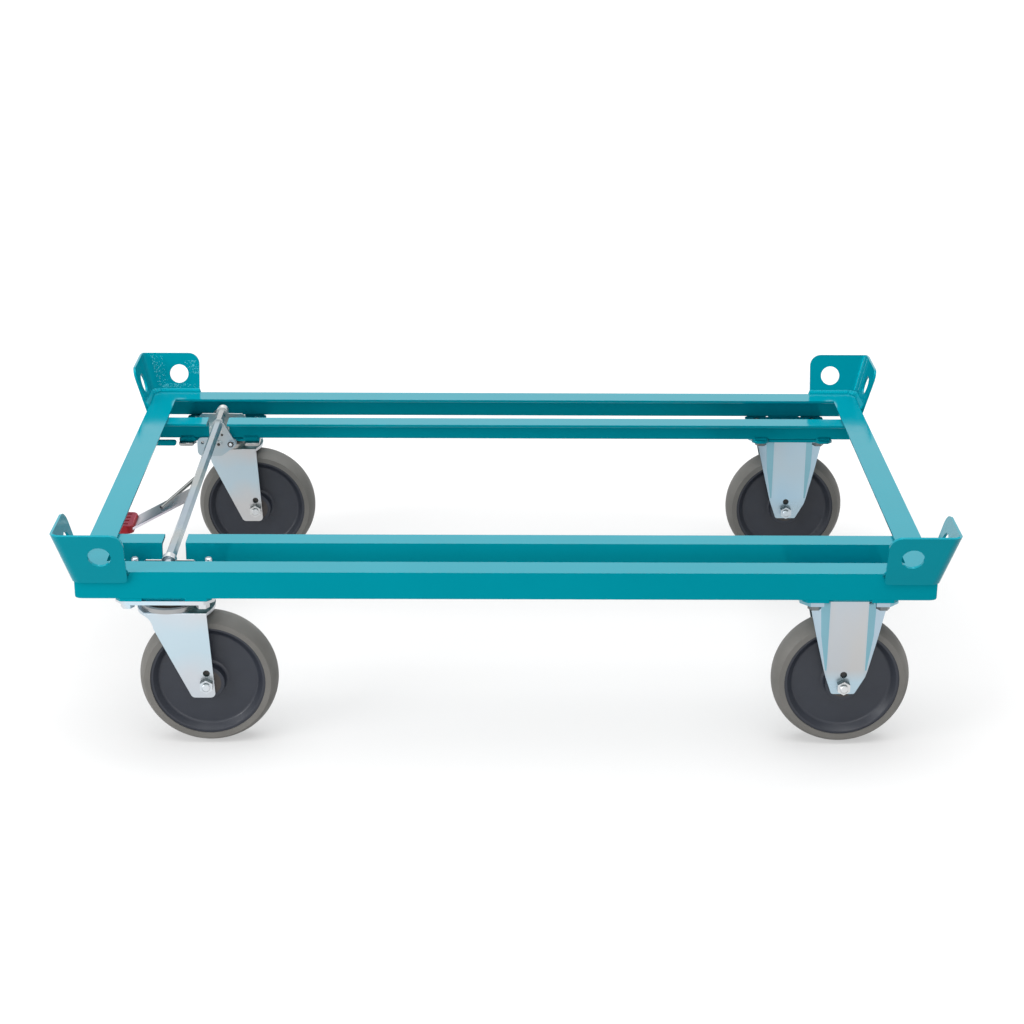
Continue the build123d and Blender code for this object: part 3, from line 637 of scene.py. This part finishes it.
# Two fine creases at the bend of the rear right bracket, one on the curve and one on the end
# leg. Their section is given by places across, in half widths, and heights
CREASE_LEVELS = (0.2915, 0.3450)
CREASE_STEPS = 30
CREASE_HALF = 0.00045
CREASE_SECTION = ((-1.0, -0.0004), (1.0, -0.0004), (0.4, 0.00035), (-0.4, 0.00035))
CREASE_WAVE = 0.25
CREASE_WAVE_STEP = 2.1
CURVE_CREASE = {"inset": (0.00285, 0.00285), "outward": (-1.0, -1.0, 2.0 * FLARE)}
LEG_CREASE = {"inset": (0.0, 0.0135), "outward": (-1.0, 0.0, FLARE)}


def crease(inset, outward):
    outward = Vector(outward).normalized()
    across = outward.cross(Vector((FLARE, FLARE, 1.0))).normalized()
    low, high = CREASE_LEVELS
    rings = []
    for i in range(CREASE_STEPS + 1):
        level = low + (high - low) * i / CREASE_STEPS
        flare = (level - BRACKET_LOW) * FLARE
        x, y = [edge + flare - away for edge, away in zip(FRAME_HALF, inset)]
        middle = Vector((x, y, level))
        half = CREASE_HALF * (1.0 + CREASE_WAVE * math.sin(CREASE_WAVE_STEP * i))
        rings.append([middle + across * half * a + outward * up for a, up in CREASE_SECTION])
    return rings


# The creases take the paler paint as a painted highlight along the bend
bend_creases = [crease(**CURVE_CREASE), crease(**LEG_CREASE)]
make_piece("bend_creases", "frame", "paint", bend_creases, painted_highlight_paint)


# The frame's corners below the brackets: welds ground flush with both rails, rounded at the foot
CORNER_BEVEL = BEND
CORNER_LEVELS = (0.2431, 0.2688)
CORNER_EDGE = 0.0012
CORNER_FOOT = 0.005
CORNER_FULL = 0.97
CORNER_SINK = 0.0004
CORNER_POINTS = 8
CORNER_RINGS = 7
CORNER_SHARP = math.radians(35.0)


def corner_fill(corner):
    low, high = CORNER_LEVELS
    angles = [QUARTER_TURN * k / CORNER_RINGS for k in range(CORNER_RINGS + 1)]
    heights = [CORNER_FOOT * (1.0 - math.cos(angle)) for angle in angles]
    rings = []
    for height in heights + [high - low]:
        share = max(0.0, 1.0 - height / CORNER_FOOT)
        swell = 1.0 - math.sqrt(1.0 - share * share)
        radius = CORNER_EDGE + (CORNER_BEVEL * CORNER_FULL - CORNER_EDGE) * swell
        outline = [(CORNER_BEVEL, 0.0)]
        for k in range(CORNER_POINTS + 1):
            angle = QUARTER_TURN * k / CORNER_POINTS
            outline.append((radius * (1.0 - math.sin(angle)), radius * (1.0 - math.cos(angle))))
        outline.append((0.0, CORNER_BEVEL))
        outline.append((CORNER_SINK, CORNER_BEVEL + CORNER_SINK))
        outline.append((CORNER_BEVEL + CORNER_SINK, CORNER_SINK))
        rings.append([from_corner(corner, inset, low + height) for inset in outline])
    return rings


corner_strips = [corner_fill(corner) for corner in CORNERS]
corner_fills = make_piece("corner_fills", "frame", "paint", corner_strips)
corner_fills.data.set_sharp_from_angle(angle=CORNER_SHARP)


# Beads along the mounting plates and at the ends of the inner rails
MOUNT_CENTRES = (ROD_X, 0.4845)
PLATE_TOP = 0.243
NOTCH_HALF = 0.027
NOTCH_Y = 0.400
INNER_OUT = 0.283
INNER_IN = 0.278
INNER_HALF = 0.058
INNER_END = 0.600
INNER_END_TOP = 0.272
FILLET = 0.0035
EAR_BEAD = (0.0400, 0.0660)
EAR_FILLET = 0.0045
UP = (0.0, 0.0, 1.0)
DOWN = (0.0, 0.0, -1.0)


def frame_beads():
    strips = []
    for side in SIDES:
        outward, inward = (0.0, side, 0.0), (0.0, -side, 0.0)
        for centre in MOUNT_CENTRES:
            ends = [(centre + i * NOTCH_HALF, side * NOTCH_Y, PLATE_TOP) for i in SIDES]
            strips.append(straight_bead(*ends, outward, DOWN, FILLET))
            ends = [(centre + i * INNER_HALF, side * INNER_OUT, PLATE_TOP) for i in SIDES]
            strips.append(straight_bead(*ends, outward, UP, FILLET))
            for way in SIDES:
                ends = [(centre + way * x, side * INNER_IN, PLATE_TOP) for x in EAR_BEAD]
                strips.append(straight_bead(*ends, inward, UP, EAR_FILLET))
        for end in SIDES:
            for y, across in ((INNER_OUT, outward), (INNER_IN, inward)):
                ends = [(end * INNER_END, side * y, z) for z in (PLATE_TOP, INNER_END_TOP)]
                strips.append(straight_bead(*ends, (-end, 0.0, 0.0), across, FILLET))
    return strips


make_piece("frame_welds", "frame", "paint", frame_beads())


# Ends of plates that reach past the inner rails: spans along X from the casters' middles, and
# reaches across from the middle of the frame
EAR_ROUND = 0.0006
MOUNT_LEVELS = (0.2381, 0.2429)
SWIVEL_LEVELS = (0.2321, 0.2379)
OUTER_SPAN = (0.0385, 0.0675)
INNER_SPAN = (0.0300, 0.0675)
SWIVEL_SPAN = (0.0430, 0.0675)
EAR_REACH = (0.2785, 0.2705)
LEDGE_REACH = (0.2785, 0.2762)
SWIVEL_REACH = (0.2945, 0.2680)
EAR_CUT = 0.0072
LEDGE_CUT = 0.0012
SWIVEL_CUT = 0.0030
FIXED_EAR = (OUTER_SPAN, EAR_REACH, MOUNT_LEVELS, EAR_CUT)
OUTER_LEDGE = (OUTER_SPAN, LEDGE_REACH, MOUNT_LEVELS, LEDGE_CUT)
INNER_LEDGE = (INNER_SPAN, LEDGE_REACH, MOUNT_LEVELS, LEDGE_CUT)
SWIVEL_EAR = (SWIVEL_SPAN, SWIVEL_REACH, SWIVEL_LEVELS, SWIVEL_CUT)


def ear(shape, centre, way, side):
    (near, far), (deep, out), (low, high), cut = shape
    outline = [
        (near, deep), (near, out + cut), (near + cut, out),
        (far - cut, out), (far, out + cut), (far, deep),
    ]
    profile = [
        (low, EAR_ROUND), (low + EAR_ROUND, 0.0),
        (high - EAR_ROUND, 0.0), (high, EAR_ROUND),
    ]
    middle = Vector(((near + far) / 2.0, (deep + out) / 2.0))
    rings = []
    for height, inset in profile:
        ring = []
        for point in outline:
            a, b = Vector(point) + (middle - Vector(point)).normalized() * inset
            ring.append((centre + way * a, side * b, height))
        rings.append(ring)
    return rings


swivel_middle, fixed_middle = MOUNT_CENTRES
mount_ears = []
swivel_ears = []
for side in SIDES:
    mount_ears.append(ear(OUTER_LEDGE, swivel_middle, -1, side))
    mount_ears.append(ear(INNER_LEDGE, swivel_middle, 1, side))
    for way in SIDES:
        mount_ears.append(ear(FIXED_EAR, fixed_middle, way, side))
        swivel_ears.append(ear(SWIVEL_EAR, swivel_middle, way, side))
make_piece("plate_ears", "frame", "paint", mount_ears)
make_piece("swivel_plate_ears", "frame", "zinc", swivel_ears, dull_zinc)


# Threads on the upright bolt ends that show
THREAD_PITCH = 0.0015
THREAD_STEPS = 6
THREAD_DEPTH = 0.00055
THREAD_SINK = 0.0002
THREAD_SIDES = 24
STUD_X = 0.053
STUD_Y = 0.309
STUD_Z = 0.2514
STUD_LENGTH = 0.0132
STUD_RADIUS = 0.005


def stud_thread(x, y):
    count = round(STUD_LENGTH / THREAD_PITCH * THREAD_STEPS)
    rings = []
    for i in range(count + 1):
        along = STUD_LENGTH * i / count
        fade = min(1.0, i / THREAD_STEPS, (count - i) / THREAD_STEPS)
        ring = []
        for k in range(THREAD_SIDES):
            part = k / THREAD_SIDES
            crest = 1.0 - abs(2.0 * ((along / THREAD_PITCH - part) % 1.0) - 1.0)
            size = STUD_RADIUS - THREAD_SINK + THREAD_DEPTH * crest * fade
            angle = FULL_TURN * part
            ring.append((x + size * math.cos(angle), y + size * math.sin(angle), STUD_Z + along))
        rings.append(ring)
    return rings


threads = [stud_thread(swivel_middle + i * STUD_X, j * STUD_Y) for i, j in CORNERS]
make_piece("stud_threads", "frame", "zinc", threads)


# Rivets on the brake lever: a bright one inside a dark ring, a dark one, and a small bright one
# over a plug. Profiles are radii and heights in millimetres
RIVET_SIDES = 32
PIN_FACE = 0.2625
LEVER_FACE = 0.2665
PIN_Z = 0.237
DARK_PIN = (ROD_X, PIN_FACE, PIN_Z)
BRIGHT_PIN = (-0.4615, PIN_FACE, PIN_Z)
SMALL_RIVET = (-0.4765, LEVER_FACE, 0.259)
PLUG = (-0.4757, LEVER_FACE, 0.2525)
BRIGHT_DOME = ((3.3, -0.2), (3.3, 0.8), (3.0, 1.6), (2.3, 2.2), (1.2, 2.6), (0.3, 2.7))
DARK_RING = ((5.1, -0.2), (5.1, 0.3), (4.8, 0.6), (3.5, 0.6), (3.2, 0.3), (3.2, -0.1))
DARK_DOME = ((2.7, -0.2), (2.7, 0.4), (2.2, 1.0), (1.2, 1.4), (0.3, 1.5))
SMALL_DOME = ((1.9, -0.2), (1.9, 0.5), (1.5, 1.1), (0.8, 1.4), (0.3, 1.5))
PLUG_DISH = ((2.1, -0.2), (2.1, 0.2), (1.8, 0.5), (1.2, 0.5), (0.9, 0.2), (0.3, 0.2))


def turned(place, profile):
    x, y, z = place
    angles = circle_angles(RIVET_SIDES)
    rings = []
    for radius, out in profile:
        size, face = radius / MM_PER_METRE, y - out / MM_PER_METRE
        rings.append([(x + size * math.cos(a), face, z + size * math.sin(a)) for a in angles])
    return rings


bright_rivets = [turned(BRIGHT_PIN, BRIGHT_DOME), turned(SMALL_RIVET, SMALL_DOME)]
# The dark ring, the dark rivet and the plug are blackened as painted shade in the lever's holes
# and round the bright pin
painted_shade_rivets = [turned(BRIGHT_PIN, DARK_RING), turned(DARK_PIN, DARK_DOME)]
make_piece("lever_rivets", "brake", "zinc", bright_rivets)
make_piece("lever_painted_shade", "brake", "race", painted_shade_rivets + [turned(PLUG, PLUG_DISH)])


# Studio: a pale floor that keeps the shadows, white surroundings, light from above and two soft
# lamps, one on the left and a weaker one in front
WHITE = opaque(1.0, 1.0, 1.0)
SEEN_RAYS = ("Is Camera Ray", "Is Glossy Ray", "Is Transmission Ray")
FLOOR_HALF = 9.0
FLOOR_LOOP = ((-1, -1), (1, -1), (1, 1), (-1, 1))
FLOOR_ALBEDO = 0.34
FLOOR_SEEN = 0.42
FLOOR_GLOW = (0.46, 0.62)
SHADOW_HALF = (0.75, 0.55, 1.0)
SHADOW_FADE = (1.05, 1.7)
SURROUND_LIGHT = 0.3
TOP_STRENGTH = 3.0
TOP_ANGLE = math.radians(70.0)
LAMPS = {
    "key_lamp": {"place": (-2.6, -1.9, 1.3), "power": 43.0, "size": 1.6},
    "fill_lamp": {"place": (0.2, -3.6, 0.75), "power": 23.0, "size": 1.2},
}
LAMP_AIM = (0.0, 0.0, 0.25)


# One look for what is seen, directly or in a mirror, and another for the light that is cast
def seen_or_cast(tree, seen, cast):
    path = tree.add("ShaderNodeLightPath")
    amount, *others = [path.outputs[ray] for ray in SEEN_RAYS]
    for other in others:
        amount = tree.maths("MAXIMUM", amount, other)
    inputs = {0: amount, 1: cast.outputs[0], 2: seen.outputs[0]}
    return tree.add("ShaderNodeMixShader", inputs).outputs[0]


def make_world():
    world = bpy.data.worlds.new("studio")
    tree = NodeTree(world, empty=True)
    light = tree.add("ShaderNodeBackground", {"Color": WHITE, "Strength": SURROUND_LIGHT})
    white = tree.add("ShaderNodeBackground", {"Color": WHITE})
    tree.add("ShaderNodeOutputWorld", {"Surface": seen_or_cast(tree, white, light)})
    scene.world = world


def floor_material():
    material = bpy.data.materials.new("pale_floor")
    tree = NodeTree(material, empty=True)
    grey, pale = [opaque(tone, tone, tone) for tone in (FLOOR_ALBEDO, FLOOR_SEEN)]
    matt = tree.add("ShaderNodeBsdfDiffuse", {"Color": grey})
    shade = tree.add("ShaderNodeBsdfDiffuse", {"Color": pale})
    place = tree.add("ShaderNodeTexCoord").outputs["Object"]
    scaled = tree.add("ShaderNodeVectorMath", {0: place, 1: SHADOW_HALF}, operation="DIVIDE")
    inputs = {0: scaled.outputs["Vector"]}
    reach = tree.add("ShaderNodeVectorMath", inputs, operation="LENGTH")
    fade = tree.map_range(reach.outputs["Value"], SHADOW_FADE, FLOOR_GLOW)
    glow = tree.add("ShaderNodeEmission", {"Strength": fade})
    both = tree.add("ShaderNodeAddShader", {0: shade.outputs[0], 1: glow.outputs[0]})
    tree.add("ShaderNodeOutputMaterial", {"Surface": seen_or_cast(tree, both, matt)})
    return material


def make_floor():
    mesh = bpy.data.meshes.new("floor")
    corners = [(i * FLOOR_HALF, j * FLOOR_HALF, 0.0) for i, j in FLOOR_LOOP]
    mesh.from_pydata(corners, [], [tuple(range(len(corners)))])
    mesh.materials.append(floor_material())
    floor = bpy.data.objects.new("floor", mesh)
    scene.collection.objects.link(floor)


def make_lamps():
    data = bpy.data.lights.new("top_light", "SUN")
    data.energy = TOP_STRENGTH
    data.angle = TOP_ANGLE
    scene.collection.objects.link(bpy.data.objects.new("top_light", data))
    for name, lamp in LAMPS.items():
        data = bpy.data.lights.new(name, "AREA")
        data.energy = lamp["power"]
        data.size = lamp["size"]
        holder = bpy.data.objects.new(name, data)
        holder.location = lamp["place"]
        aim = Vector(LAMP_AIM) - Vector(lamp["place"])
        holder.rotation_euler = aim.to_track_quat("-Z", "Y").to_euler()
        scene.collection.objects.link(holder)


make_camera()
make_world()
make_floor()
make_lamps()
